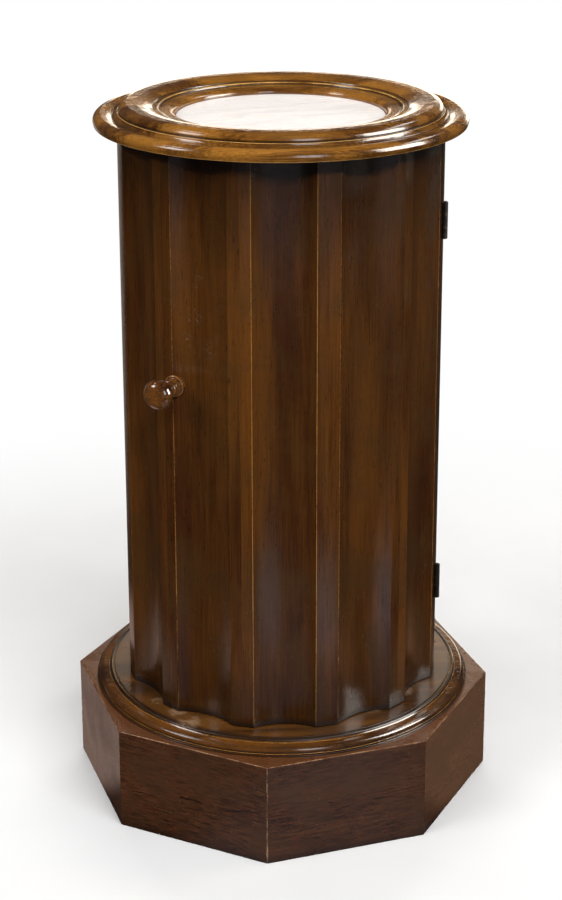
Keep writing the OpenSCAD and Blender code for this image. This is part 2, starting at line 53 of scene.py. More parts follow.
def roundCorners(corners, steps, guard, closed=True):
    corners = np.asarray(corners, float)
    here, radius = corners[:, :2], corners[:, 2].copy()
    if not closed:
        radius[[0, -1]] = 0
    toLast, toNext = np.roll(here, 1, 0) - here, np.roll(here, -1, 0) - here
    lastLen = np.maximum(np.linalg.norm(toLast, axis=1), 1e-9)
    nextLen = np.maximum(np.linalg.norm(toNext, axis=1), 1e-9)
    toLast, toNext = toLast / lastLen[:, None], toNext / nextLen[:, None]
    half = np.arccos(np.clip((toLast * toNext).sum(1), -0.999999, 0.999999)) / 2
    wanted = radius / np.tan(half)
    room = np.minimum(1, rounding["fill"] * nextLen / np.maximum(wanted + np.roll(wanted, -1), 1e-9))
    tangent = wanted * np.minimum(room, np.roll(room, 1))
    radius = tangent * np.tan(half)
    middle = toLast + toNext
    middle /= np.maximum(np.linalg.norm(middle, axis=1), 1e-9)[:, None]
    centre = here + middle * (radius / np.sin(half))[:, None]
    turn = (np.pi - 2 * half)[:, None, None]
    share = np.linspace(0, 1, steps)[None, :, None]
    startArm = (here + toLast * tangent[:, None] - centre)[:, None]
    endArm = (here + toNext * tangent[:, None] - centre)[:, None]
    swept = np.sin((1 - share) * turn) * startArm + np.sin(share * turn) * endArm
    arc = centre[:, None] + swept / np.maximum(np.sin(turn), 1e-6)
    free = np.maximum(nextLen - tangent - np.roll(tangent, -1), 0)
    spare = np.minimum(guard, rounding["guardShare"] * free)
    nextReach = np.where(radius > 0, tangent + spare, 0)
    lastReach = np.where(radius > 0, tangent + np.roll(spare, 1), 0)
    points = np.concatenate([(here + toLast * lastReach[:, None])[:, None], arc,
                             (here + toNext * nextReach[:, None])[:, None]], 1)
    side = np.sign(toNext[:, 0] * toLast[:, 1] - toNext[:, 1] * toLast[:, 0])
    strength = side * np.clip((np.pi - 2 * half) / rounding["fullTurn"], 0, 1)
    strength = strength * np.minimum(1, rounding["softRadius"] / np.maximum(radius, 0.01))
    fade = rounding["fade"]
    profile = np.concatenate([[0], np.sin(np.linspace(fade, np.pi - fade, steps)) ** 0.5, [0]])
    bend = np.where(radius > 0, strength, 0)[:, None] * profile[None]
    points, bend = points.reshape(-1, 2), bend.reshape(-1)
    keep = np.linalg.norm(points - np.roll(points, 1, 0), axis=1) > 1e-3
    if not closed:
        keep[0] = True
    return points[keep], bend[keep]


# Quads between neighbouring rows and columns of a grid, wrapped round where a direction is closed
def gridFaces(rows, columns, closedRows, closedColumns):
    r = np.arange(rows if closedRows else rows - 1)[:, None]
    c = np.arange(columns if closedColumns else columns - 1)[None]
    rNext, cNext = (r + 1) % rows, (c + 1) % columns
    corners = [r * columns + c, rNext * columns + c, rNext * columns + cNext, r * columns + cNext]
    return np.stack(np.broadcast_arrays(*corners), -1).reshape(-1, 4)


# Adds points to an outline so that none are further apart than the step, and finds how deep each lies in
# a corner: the sum of the hollow bends near it, each times exp(-(distance / reach)^2), over full
crevices = dict(step=1.3, reach=1.5, full=2.2)


def findCrevices(section, bend, closed=True):
    ends = np.roll(section, -1, 0) if closed else section[1:]
    starts = section if closed else section[:-1]
    bendEnds = np.roll(bend, -1) if closed else bend[1:]
    parts = np.maximum(1, np.ceil(np.linalg.norm(ends - starts, axis=1) / crevices["step"])).astype(int)
    owner = np.repeat(np.arange(len(parts)), parts)
    share = (np.arange(len(owner)) - np.repeat(np.cumsum(parts) - parts, parts)) / parts[owner]
    points = starts[owner] + (ends - starts)[owner] * share[:, None]
    bends = bend[:len(parts)][owner] * (1 - share) + bendEnds[owner] * share
    if not closed:
        points, bends = np.vstack([points, section[-1:]]), np.append(bends, bend[-1])
    hollow = np.maximum(-bend, 0)
    distance = np.linalg.norm(points[:, None] - section[None], axis=2)
    total = (hollow[None] * np.exp(-(distance / crevices["reach"]) ** 2)).sum(1)
    return points, bends, np.clip(total / crevices["full"], 0, 1)


# Turns a section of (radius, height) round the z axis. One that starts and ends on it gets two poles.
def turnSection(section, around, closed=True):
    angle = np.linspace(0, 2 * np.pi, around, endpoint=False)
    ring = section if closed else section[1:-1]
    across, depth = ring[:, :1] * np.sin(angle), -ring[:, :1] * np.cos(angle)
    points = np.stack(np.broadcast_arrays(across, depth, ring[:, 1:]), -1).reshape(-1, 3)
    faces = [gridFaces(len(ring), around, closed, True)]
    if not closed:
        index = np.arange(len(ring) * around).reshape(len(ring), around)
        pole = len(points)
        faces.append(np.stack([np.full(around, pole), index[0], np.roll(index[0], -1)], -1))
        faces.append(np.stack([np.full(around, pole + 1), np.roll(index[-1], -1), index[-1]], -1))
        points = np.vstack([points, [[0, 0, section[0, 1]], [0, 0, section[-1, 1]]]])
    return points, faces


# Repeats a value of each section point round the whole turn
def roundTurn(values, around, closed=True):
    if closed:
        return np.repeat(values, around)
    return np.concatenate([np.repeat(values[1:-1], around), values[[0, -1]]])


# Six times the volume inside the faces. Its sign tells whether they point outwards.
def closedVolume(points, faces):
    total = 0.0
    for block in faces:
        a, b, c = points[block[:, :1]], points[block[:, 1:-1]], points[block[:, 2:]]
        total += float((np.cross(a, b) * c).sum())
    return total


def turnedAbout(points, degrees):
    a = math.radians(degrees)
    turn = np.array([[math.cos(a), -math.sin(a), 0], [math.sin(a), math.cos(a), 0], [0, 0, 1]])
    return points @ turn.T


def addObject(name, data):
    made = bpy.data.objects.new(name, data)
    bpy.context.scene.collection.objects.link(made)
    return made


sharpAngle = math.radians(38)


# Puts arrays into a mesh whose place is in its points. The materials read marks, values per point.
def makePiece(name, points, faces, body, stands, material, marks):
    faces = [np.atleast_2d(block) for block in faces]
    if closedVolume(points, faces) < 0:
        faces = [block[:, ::-1] for block in faces]
    mesh = bpy.data.meshes.new(name)
    mesh.from_pydata((points * mm).tolist(), [], [face for block in faces for face in block.tolist()])
    for mark, values in marks.items():
        values = np.asarray(values, np.float32)
        kind, field = ("FLOAT_VECTOR", "vector") if values.ndim == 2 else ("FLOAT", "value")
        mesh.attributes.new(mark, kind, "POINT").data.foreach_set(field, values.ravel())
    mesh.polygons.foreach_set("use_smooth", np.ones(len(mesh.polygons), bool))
    mesh.set_sharp_from_angle(angle=sharpAngle)
    mesh.materials.append(material)
    mesh.update()
    piece = addObject(name, mesh)
    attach(piece, body)
    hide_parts(*stands)


# Shader helpers: each adds one node and returns its output
def socketOf(tree, target, value):
    if isinstance(value, bpy.types.NodeSocket):
        tree.links.new(value, target)
    elif value is not None:
        target.default_value = value


# Sets or links several sockets by name
def fill(tree, sockets, values):
    for label, value in values.items():
        socketOf(tree, sockets[label], value)


def addNode(tree, kind):
    return tree.nodes.new("ShaderNode" + kind)


# The place on the piece
def objectOf(tree):
    return addNode(tree, "TexCoord").outputs["Object"]


def turnedOf(tree, rotation, scale=(1, 1, 1)):
    node = addNode(tree, "Mapping")
    fill(tree, node.inputs, dict(Vector=objectOf(tree), Rotation=rotation, Scale=scale))
    return node.outputs[0]


def combineOf(tree, *values):
    node = addNode(tree, "CombineXYZ")
    for socket, value in zip(node.inputs, values):
        socketOf(tree, socket, value)
    return node.outputs[0]


def mathOf(tree, operation, a, b=None, clamp=False):
    node = addNode(tree, "Math")
    node.operation, node.use_clamp = operation, clamp
    socketOf(tree, node.inputs[0], a)
    socketOf(tree, node.inputs[1], b)
    return node.outputs[0]


def plus(tree, a, b, clamp=False):
    return mathOf(tree, "ADD", a, b, clamp)


def minus(tree, a, b):
    return mathOf(tree, "SUBTRACT", a, b)


def times(tree, a, b):
    return mathOf(tree, "MULTIPLY", a, b)


# How far two values are apart
def gapOf(tree, a, b):
    return mathOf(tree, "ABSOLUTE", minus(tree, a, b))


def vectorOf(tree, operation, a, b=None, output=0):
    node = addNode(tree, "VectorMath")
    node.operation = operation
    socketOf(tree, node.inputs[0], a)
    socketOf(tree, node.inputs[1], b)
    return node.outputs[output]


def scaleOf(tree, a, b):
    return vectorOf(tree, "MULTIPLY", a, b)


def dotOf(tree, a, b):
    return vectorOf(tree, "DOT_PRODUCT", a, b, output=1)


# Smooth step between two limits
def stepOf(tree, value, low, high, toLow=0.0, toHigh=1.0):
    node = addNode(tree, "MapRange")
    node.interpolation_type = "SMOOTHSTEP"
    fill(tree, node.inputs, {"Value": value, "From Min": low, "From Max": high,
                             "To Min": toLow, "To Max": toHigh})
    return node.outputs[0]


def mixOf(tree, factor, a, b, blend="MIX"):
    node = addNode(tree, "Mix")
    node.data_type, node.blend_type = "RGBA", blend
    a, b = [(*value, 1) if isinstance(value, tuple) else value for value in (a, b)]
    fill(tree, node.inputs, dict(Factor=factor, A=a, B=b))
    return node.outputs["Result"]


def noiseOf(tree, vector, scale, detail=3.0, roughness=0.5, distortion=0.0):
    node = addNode(tree, "TexNoise")
    fill(tree, node.inputs, dict(Vector=vector, Scale=scale, Detail=detail, Roughness=roughness,
                                 Distortion=distortion))
    return node.outputs["Fac"]


# Noise about 0 that makes a line wander, by up to half of this much
def wanderOf(tree, vector, scale, roughness, much):
    return times(tree, minus(tree, noiseOf(tree, vector, scale, 3, roughness), 0.5), much)


def splitOf(tree, vector):
    node = addNode(tree, "SeparateXYZ")
    socketOf(tree, node.inputs[0], vector)
    return node.outputs


def markOf(tree, name, output="Fac"):
    node = addNode(tree, "Attribute")
    node.attribute_name = name
    return node.outputs[output]


def bumpOf(tree, height, strength, distance):
    node = addNode(tree, "Bump")
    fill(tree, node.inputs, dict(Strength=strength, Distance=distance, Height=height))
    return node.outputs[0]


# A new node group with named sockets. Returns the tree and its two end nodes.
def newGroup(name, inputs, outputs):
    tree = bpy.data.node_groups.new(name, "ShaderNodeTree")
    for label, kind in inputs.items():
        tree.interface.new_socket(label, in_out="INPUT", socket_type="NodeSocket" + kind)
    for label in outputs:
        tree.interface.new_socket(label, in_out="OUTPUT", socket_type="NodeSocketFloat")
    return tree, tree.nodes.new("NodeGroupInput").outputs, tree.nodes.new("NodeGroupOutput").inputs


def placeGroup(tree, group, **values):
    node = addNode(tree, "Group")
    node.node_tree = group
    fill(tree, node.inputs, values)
    return node.outputs


def newMaterial(name):
    material = bpy.data.materials.new(name)
    material.use_nodes = True
    return material, material.node_tree, material.node_tree.nodes["Principled BSDF"]


# Wood grain along the third coordinate: wide figure, fibres, short dark pores and reddish flecks. Each
# layer is noise: how far it is drawn out along the grain, then its scale, detail and roughness.
grainLayers = dict(figure=(0.10, 26, 3, 0.55), fibre=(0.026, 620, 5, 0.66), pores=(0.13, 820, 2, 0.5),
                   fleck=(0.10, 190, 4, 0.65))
grainSway = dict(scale=7, along=0.35, much=(0.014, 0.014, 0), plankShift=(0.37, 0.11, 0.73))


def buildGrain():
    tree, start, end = newGroup("woodGrain", dict(Place="Vector", Plank="Float", Stretch="Vector"),
                                ["Figure", "Fibre", "Pores", "Fleck"])
    offset = combineOf(tree, *[times(tree, start["Plank"], share) for share in grainSway["plankShift"]])
    place = vectorOf(tree, "ADD", start["Place"], offset)
    sway = addNode(tree, "TexNoise")
    socketOf(tree, sway.inputs["Vector"], scaleOf(tree, place, (1, 1, grainSway["along"])))
    sway.inputs["Scale"].default_value = grainSway["scale"]
    swayed = vectorOf(tree, "ADD", place, scaleOf(tree, sway.outputs["Color"], grainSway["much"]))
    swayed = scaleOf(tree, swayed, start["Stretch"])
    layers = {name: noiseOf(tree, scaleOf(tree, swayed, (1, 1, draw)), *noise)
              for name, (draw, *noise) in grainLayers.items()}
    fill(tree, end, dict(Figure=layers["figure"], Fibre=layers["fibre"],
                         Pores=stepOf(tree, layers["pores"], 0.60, 0.74),
                         Fleck=stepOf(tree, layers["fleck"], 0.54, 0.74)))
    return tree


# Where polish is rubbed off an arris: strong bends, broken up by noise, in runs that come and go; these
# light lines also paint highlights on the arrises. Hollows darken in the same way, partly as wax and dirt
# and partly as painted shade. The noises are scale, detail, roughness and share.
wearLightNoises = [(75, 3, 0.65, 1.1), (480, 3, 0.7, 1.0), (14, 2, 0.5, 0.8)]
wearLightSteps = dict(rubbedGlint=(1.92, 2.45), arris=(0.02, 0.3), dirtAndShade=(0.25, 0.8), hollow=(0.01, 0.2), patchy=0.4)


def buildWearAndLight():
    tree, start, end = newGroup("wearAndPaintedLight", dict(Bend="Float", Place="Vector", Amount="Float"),
                                ["RubbedGlint", "DirtAndShade"])
    bend, rough, noises = start["Bend"], 0.0, []
    for scale, detail, roughness, share in wearLightNoises:
        noises.append(noiseOf(tree, start["Place"], scale, detail, roughness))
        rough = plus(tree, rough, times(tree, noises[-1], share))
    edge = plus(tree, times(tree, bend, start["Amount"]), rough)
    # Arrises: light lines, partly worn polish and partly painted highlights
    rubbedGlint = times(tree, stepOf(tree, edge, *wearLightSteps["rubbedGlint"]), stepOf(tree, bend, *wearLightSteps["arris"]))
    # Hollows: dark marks, partly wax and dirt and partly painted shade
    low = times(tree, bend, -1.0)
    deep = plus(tree, low, times(tree, noises[0], wearLightSteps["patchy"]))
    dirtAndShade = times(tree, stepOf(tree, deep, *wearLightSteps["dirtAndShade"]), stepOf(tree, low, *wearLightSteps["hollow"]))
    fill(tree, end, dict(RubbedGlint=rubbedGlint, DirtAndShade=dirtAndShade))
    return tree


# Use marks of an old polish: cloudy patches, fine curved scratches, and specks of dust
def buildUse():
    tree, start, end = newGroup("oldPolish", dict(Place="Vector"), ["Cloud", "Scratch", "Dust"])
    place = start["Place"]
    lines = gapOf(tree, noiseOf(tree, place, 60, 2, 0.4, 3.0), 0.5)
    where = stepOf(tree, noiseOf(tree, place, 26, 2), 0.54, 0.64)
    fill(tree, end, dict(Cloud=noiseOf(tree, place, 15, 4, 0.6, 0.6),
                         Scratch=times(tree, stepOf(tree, lines, 0.0, 0.012, 1.0, 0.0), where),
                         Dust=stepOf(tree, noiseOf(tree, place, 520, 2, 0.8), 0.70, 0.78)))
    return tree


# A split along the grain, from start to end: abs(height - level - slope * along) is below its width
splitShape = dict(wander=0.006, taper=0.006)


def buildSplit():
    floats = dict.fromkeys(("Plank", "Board", "Start", "End", "Level", "Slope", "Width"), "Float")
    tree, start, end = newGroup("split", dict(Place="Vector", **floats), ["Mask"])
    place, taper = start["Place"], splitShape["taper"]
    height, _, along = splitOf(tree, place)
    line = plus(tree, start["Level"], times(tree, start["Slope"], along))
    off = gapOf(tree, plus(tree, height, wanderOf(tree, place, 110, 0.6, splitShape["wander"])), line)
    mask = stepOf(tree, mathOf(tree, "DIVIDE", off, start["Width"]), 0.5, 1.0, 1.0, 0.0)
    broken = stepOf(tree, noiseOf(tree, place, 190, 2), 0.30, 0.42)
    begins = mathOf(tree, "DIVIDE", minus(tree, along, start["Start"]), taper, True)
    ends = mathOf(tree, "DIVIDE", minus(tree, start["End"], along), taper, True)
    same = mathOf(tree, "LESS_THAN", gapOf(tree, start["Plank"], start["Board"]), samePlank)
    for part in (broken, begins, ends, same):
        mask = times(tree, mask, part)
    socketOf(tree, end["Mask"], mask)
    return tree


samePlank = 0.05  # marks of one board lie closer together than this
grainGroup, wearLightGroup, useGroup, splitGroup = buildGrain(), buildWearAndLight(), buildUse(), buildSplit()


# Polished wood. look holds the colours and how far each effect goes. Pieces made here carry marks for
# bend, plank and grain; carried-over nodes have none, so they read Object coordinates.
def woodMaterial(name, look, marked=True):
    material, tree, shader = newMaterial(name)
    if marked:
        place, plank = markOf(tree, "grainPlace", "Vector"), markOf(tree, "plank")
        bend = times(tree, markOf(tree, "bend"), markOf(tree, "rubGlint") if look["rubGlintMark"] else 1.0)
    else:
        place, plank, bend = turnedOf(tree, look["grainTurn"]), 0.3, 0.0
    grain = placeGroup(tree, grainGroup, Place=place, Plank=plank, Stretch=look["stretch"])
    wearAndLight = placeGroup(tree, wearLightGroup, Bend=bend, Place=place, Amount=look["wearAndLight"])
    use = placeGroup(tree, useGroup, Place=place)
    fibre, cloud = grain["Fibre"], use["Cloud"]
    tone = plus(tree, times(tree, grain["Figure"], 1 - look["fibre"]), times(tree, fibre, look["fibre"]))
    colour = mixOf(tree, stepOf(tree, tone, *look["range"]), look["dark"], look["light"])
    streak = stepOf(tree, fibre, 0.40, 0.62, 1 - look["streak"], 1 + look["streak"])
    colour = scaleOf(tree, colour, streak)
    colour = mixOf(tree, stepOf(tree, cloud, 0.42, 0.70, 0.0, look["cloud"]), colour, look["cloudy"])
    # Layers over the colour, each a mask, an amount and a colour: flecks and pores of the grain; hollows
    # darkened, partly as wax and dirt and partly as painted shade; arrises lightened, partly as worn polish
    # and partly as painted highlights; and specks of dust.
    layers = ((grain["Fleck"], "fleck", "red"), (grain["Pores"], "pores", "pore"),
              (wearAndLight["DirtAndShade"], "dirtAndShade", "waxAndShade"), (markOf(tree, "crevice"), "crevice", "waxAndShade"),
              (wearAndLight["RubbedGlint"], "rubGlint", "rubbedGlint"), (use["Dust"], "dust", "grey"))
    for mask, amount, over in layers:
        colour = mixOf(tree, times(tree, mask, look[amount]), colour, look[over])
    gloss = stepOf(tree, cloud, 0.3, 0.7, *look["rough"])
    gloss = plus(tree, gloss, times(tree, wearAndLight["DirtAndShade"], 0.25))
    gloss = plus(tree, gloss, times(tree, use["Scratch"], 0.1), True)
    height = minus(tree, times(tree, fibre, 0.5), times(tree, grain["Pores"], 0.6))
    height = minus(tree, height, times(tree, use["Scratch"], 0.2))
    height = plus(tree, height, times(tree, cloud, look["wavy"]))
    if look["ripple"]:
        uneven = noiseOf(tree, scaleOf(tree, place, (1, 1, 0.4)), 95, 3, 0.55)
        height = plus(tree, height, times(tree, uneven, look["ripple"]))
    if look["extra"]:
        colour, gloss, height = look["extra"](tree, place, plank, colour, gloss, height)
    normal = bumpOf(tree, height, look["bump"], 0.0006)
    fill(tree, shader.inputs, {"Base Color": colour, "Roughness": gloss, "Coat Weight": look["coat"],
                               "Coat Roughness": look["coatRough"], "Specular IOR Level": look["specular"],
                               "Normal": normal, "Coat Normal": normal})
    return material


# A split drawn along a board with one split group; returns the colour and height after it
def addSplits(tree, place, plank, colour, height, splits):
    for board, start, end, level, slope, width in splits:
        mask = placeGroup(tree, splitGroup, Place=place, Plank=plank, Board=board * plinth["plankStep"],
                          Start=start, End=end, Level=level, Slope=slope, Width=width)["Mask"]
        colour = mixOf(tree, times(tree, mask, 0.9), colour, plinthTints["split"])
        height = minus(tree, height, times(tree, mask, 0.7))
    return colour, height


# Board number, from and to along the board, height where along is 0, slope, and half width, in metres
plinthSplits = [(8, -0.0184, 0.0147, 0.0518, -0.014, 0.0011), (8, 0.0178, 0.0266, 0.058, -0.32, 0.0009),
                (8, 0.0296, 0.0827, 0.0419, 0.205, 0.0008), (8, -0.0768, -0.0414, 0.0445, -0.003, 0.0006),
                (1, -0.0273, -0.0109, 0.0518, -0.33, 0.0009), (7, -0.0714, 0.0891, 0.0700, 0.228, 0.0004),
                (2, -0.0600, 0.0100, 0.033, 0.090, 0.0004), (4, -0.0500, 0.045, 0.062, 0.060, 0.0005),
                (5, -0.0100, 0.0700, 0.0400, -0.080, 0.0004)]
# split is the colour in the splits. edge is a painted sheen: the top face and its rounded edge, above
# topSheenRise, are mixed towards a lighter red. foot and footFade darken the lowest 12 mm of the boards.
plinthTints = dict(split=(0.006, 0.0025, 0.0015), edge=(0.200, 0.070, 0.020), foot=(0.012, 0.005, 0.003),
                   topSheenRise=(0.1088, 0.1100, 0.0, 0.3), footFade=(0.0, 0.012, 0.55, 0.0))


def plinthExtra(tree, place, plank, colour, gloss, height):
    colour, height = addSplits(tree, place, plank, colour, height, plinthSplits)
    up = splitOf(tree, place)[0]
    # Painted sheen on the top face
    colour = mixOf(tree, stepOf(tree, up, *plinthTints["topSheenRise"]), colour, plinthTints["edge"])
    colour = mixOf(tree, stepOf(tree, up, *plinthTints["footFade"]), colour, plinthTints["foot"])
    return colour, gloss, height


# Worn, curly patches on the turned base's flat: x and y of the middle, and the size, in metres
basePatches = [(-0.1457, -0.0876, 0.012), (-0.1399, -0.1133, 0.017), (-0.1579, -0.0575, 0.010),
               (0.0500, -0.148, 0.012), (0.096, -0.118, 0.018)]
baseTints = dict(litRollFrom=(0.188, 0.193), litRoll=(1.10, 1.05, 1.10), dull=(0.184, 0.187, 0.20, 0.0),
                 worn=(0.32, 0.20, 0.115), curl=(0.40, 0.58, 0.05, 0.75), level=0.1234,
                 across=(0.94, 0.34, 0), along=(-0.05, 0.15, 0))


def baseExtra(tree, place, plank, colour, gloss, height):
    coords = objectOf(tree)
    curled = [dotOf(tree, coords, baseTints[way]) for way in ("across", "along")]
    curls = noiseOf(tree, combineOf(tree, *curled), 430, 3, 0.6, 0.4)
    wander = wanderOf(tree, coords, 70, 0.5, 0.012)
    total = 0.0
    for x, y, size in basePatches:
        far = plus(tree, vectorOf(tree, "DISTANCE", coords, (x, y, baseTints["level"]), output=1), wander)
        total = mathOf(tree, "MAXIMUM", total, stepOf(tree, far, 0.35 * size, size, 1.0, 0.0))
    radius = vectorOf(tree, "LENGTH", scaleOf(tree, coords, (1, 1, 0)), output=1)
    # Painted light: out from litRollFrom the bead and roll are made lighter than the flat
    litRollColour = scaleOf(tree, colour, baseTints["litRoll"])
    colour = mixOf(tree, stepOf(tree, radius, *baseTints["litRollFrom"]), colour, litRollColour)
    worn = times(tree, total, stepOf(tree, curls, *baseTints["curl"]))
    gloss = plus(tree, gloss, stepOf(tree, radius, *baseTints["dull"]))
    return mixOf(tree, worn, colour, baseTints["worn"]), gloss, height


# Painted shade on the column: a dark band under the top moulding that reaches lower in the flutes, a
# wider fade below it, and a darker foot; and its fillets are painted lighter than its flutes. Its inner
# faces are bare wood. Steps are from, to and the values there, in metres up the column where nothing
# else is said.
columnTints = dict(rimShadowBand=(0.711, 0.716, 0.0, 0.5), foot=(0.125, 0.134, 0.8, 0.0), rimShadowInFlutes=0.008,
                   paintedShade=(0.007, 0.0032, 0.0018), fillets=(0.02, 0.10, 1.15, 0.98), ragged=0.004,
                   rimShade=(0.585, 0.715, 1.0, 0.50), footShade=(0.125, 0.215, 0.58, 1.0),
                   scuff=(0.22, 0.17, 0.15), scuffPlank=9.83, scuffHeight=0.560,
                   scuffReach=(0.030, 0.050, 1.0, 0.0), bareDark=(0.075, 0.034, 0.014),
                   bareLight=(0.19, 0.095, 0.042))


def columnExtra(tree, place, plank, colour, gloss, height):
    tints, up = columnTints, splitOf(tree, place)[2]
    hollow, inside = markOf(tree, "hollow"), markOf(tree, "inside")
    ragged = wanderOf(tree, place, 60, 0.6, tints["ragged"])
    # Painted shadow in the paintedShade colour: a ragged band just under the top moulding, lower in the
    # flutes, and one at the foot.
    level = plus(tree, plus(tree, up, times(tree, hollow, tints["rimShadowInFlutes"])), ragged)
    foot = stepOf(tree, minus(tree, up, ragged), *tints["foot"])
    paintedShade = mathOf(tree, "MAXIMUM", stepOf(tree, level, *tints["rimShadowBand"]), foot)
    # Painted light and shade: fillets lighter than flutes, the upper column darker towards the rim, the
    # lower darker towards the foot.
    for value, shade in ((hollow, "fillets"), (up, "rimShade"), (up, "footShade")):
        colour = scaleOf(tree, colour, stepOf(tree, value, *tints[shade]))
    colour = mixOf(tree, paintedShade, colour, tints["paintedShade"])
    gloss = plus(tree, gloss, times(tree, foot, 0.3), True)
    lines = gapOf(tree, noiseOf(tree, place, 150, 1, 0.4, 1.2), 0.5)
    scuffed = stepOf(tree, lines, 0.0, 0.014, 1.0, 0.0)
    where = (stepOf(tree, noiseOf(tree, place, 55, 2), 0.50, 0.60),
             stepOf(tree, gapOf(tree, up, tints["scuffHeight"]), *tints["scuffReach"]),
             mathOf(tree, "LESS_THAN", gapOf(tree, plank, tints["scuffPlank"]), samePlank),
             stepOf(tree, hollow, 0.3, 0.8, 0.0, 0.4))
    for part in where:
        scuffed = times(tree, scuffed, part)
    colour = mixOf(tree, scuffed, colour, tints["scuff"])
    bare = mixOf(tree, noiseOf(tree, scaleOf(tree, place, (1, 1, 0.04)), 160, 4, 0.6), tints["bareDark"],
                 tints["bareLight"])
    colour = mixOf(tree, inside, colour, bare)
    return colour, plus(tree, gloss, times(tree, inside, 0.4), True), height


columnLook = dict(dark=(0.040, 0.0118, 0.0024), light=(0.108, 0.0375, 0.0062), range=(0.34, 0.64),
                  fibre=0.26, streak=0.06, cloudy=(0.062, 0.0262, 0.0052), cloud=0.7,
                  red=(0.104, 0.025, 0.006), fleck=0.42, pore=(0.014, 0.0054, 0.0021), pores=0.55,
                  waxAndShade=(0.010, 0.0042, 0.002), dirtAndShade=0.8, crevice=0.9, rubbedGlint=(0.56, 0.25, 0.045), rubGlint=0.85,
                  rubGlintMark=True, grey=(0.30, 0.29, 0.30), dust=0.22, stretch=(1, 1, 1), wearAndLight=1.9,
                  rough=(0.15, 0.22), coat=0.0, coatRough=0.2, specular=0.5, bump=0.22, wavy=1.0,
                  ripple=2.0, extra=columnExtra)
plinthLook = dict(columnLook, dark=(0.036, 0.013, 0.0052), light=(0.090, 0.0325, 0.0128), fibre=0.62,
                  red=(0.125, 0.030, 0.0095), cloudy=(0.070, 0.030, 0.012), rubbedGlint=(0.55, 0.33, 0.18),
                  range=(0.38, 0.59), fleck=0.75, pores=0.9, dust=0.6, stretch=(1.2, 1.2, 3.4), streak=0.18,
                  wearAndLight=0.60, rough=(0.22, 0.36), bump=0.3, ripple=0.0, extra=plinthExtra)
baseLook = dict(columnLook, dark=(0.032, 0.0108, 0.0024), light=(0.140, 0.053, 0.0086),
                red=(0.115, 0.030, 0.006), cloudy=(0.072, 0.029, 0.006), rubbedGlint=(0.72, 0.38, 0.09),
                rough=(0.06, 0.14), coatRough=0.05, bump=0.12, specular=0.8, ripple=1.8, range=(0.38, 0.60),
                wearAndLight=1.2, rubGlint=0.8, rubGlintMark=False, dust=0.4, stretch=(1.2, 1.2, 1.6), crevice=0.7,
                waxAndShade=(0.013, 0.005, 0.002), extra=baseExtra)
topLook = dict(baseLook, dark=(0.060, 0.019, 0.0024), light=(0.298, 0.123, 0.0165),
               red=(0.17, 0.046, 0.006), cloudy=(0.150, 0.060, 0.008), pore=(0.034, 0.012, 0.003),
               waxAndShade=(0.020, 0.0075, 0.0018), rubbedGlint=(0.74, 0.42, 0.12), fleck=0.45, pores=0.6,
               rough=(0.12, 0.20), coat=0.45, specular=0.5, coatRough=0.07, range=(0.40, 0.59), wearAndLight=1.12,
               streak=0.16, ripple=3.2, extra=None)
knobLook = dict(baseLook, dark=(0.024, 0.0068, 0.0022), light=(0.210, 0.078, 0.014),
                red=(0.07, 0.018, 0.005), cloudy=(0.045, 0.012, 0.0035), rubbedGlint=(0.50, 0.20, 0.05),
                rough=(0.05, 0.12), coat=1.0, specular=0.5, coatRough=0.04, bump=0.05, wearAndLight=0.9, rubGlint=0.4,
                dust=0.05, fleck=0.2, pores=0.2, ripple=3.0, stretch=(0.7, 0.7, 1.6), extra=None)
insideLook = dict(columnLook, dark=(0.17, 0.095, 0.045), light=(0.34, 0.21, 0.11), red=(0.22, 0.11, 0.05),
                  cloudy=(0.22, 0.13, 0.07), pore=(0.09, 0.05, 0.025), waxAndShade=(0.05, 0.03, 0.02), dust=0.3,
                  rough=(0.55, 0.75), specular=0.3, bump=0.4, ripple=0.0, rubGlintMark=False,
                  grainTurn=(0, math.pi / 2, 0), extra=None)


# White marble: faint grey streaks that run from left to right, and a faint warm stain
marbleLook = dict(around=240, scale=(0.30, 1.6, 1), white=(0.930, 0.890, 0.860), grey=(0.820, 0.780, 0.755),
                  vein=(0.60, 0.565, 0.55), stain=(0.86, 0.73, 0.60), rough=(0.22, 0.34),
                  corners=[(0, 722.6, 0), (107.4, 722.6, 0.6), (107.4, 734.6, 0.7), (0, 734.6, 0)])


def marbleMaterial():
    look = marbleLook
    material, tree, shader = newMaterial("whiteMarble")
    place = objectOf(tree)
    drawn = turnedOf(tree, (0, 0, math.radians(top["grain"])), look["scale"])
    streak = noiseOf(tree, drawn, 22, 5, 0.6, 0.6)
    vein = gapOf(tree, noiseOf(tree, drawn, 11, 4, 0.5, 0.5), 0.5)
    colour = mixOf(tree, stepOf(tree, streak, 0.40, 0.70), look["white"], look["grey"])
    colour = mixOf(tree, stepOf(tree, vein, 0.0, 0.035, 0.30, 0.0), colour, look["vein"])
    colour = mixOf(tree, stepOf(tree, noiseOf(tree, place, 30), 0.52, 0.8, 0.0, 0.4), colour, look["stain"])
    gloss = stepOf(tree, streak, 0.3, 0.8, *look["rough"])
    normal = bumpOf(tree, noiseOf(tree, place, 260, 4), 0.08, 0.0004)
    fill(tree, shader.inputs, {"Base Color": colour, "Roughness": gloss, "Normal": normal})
    return material


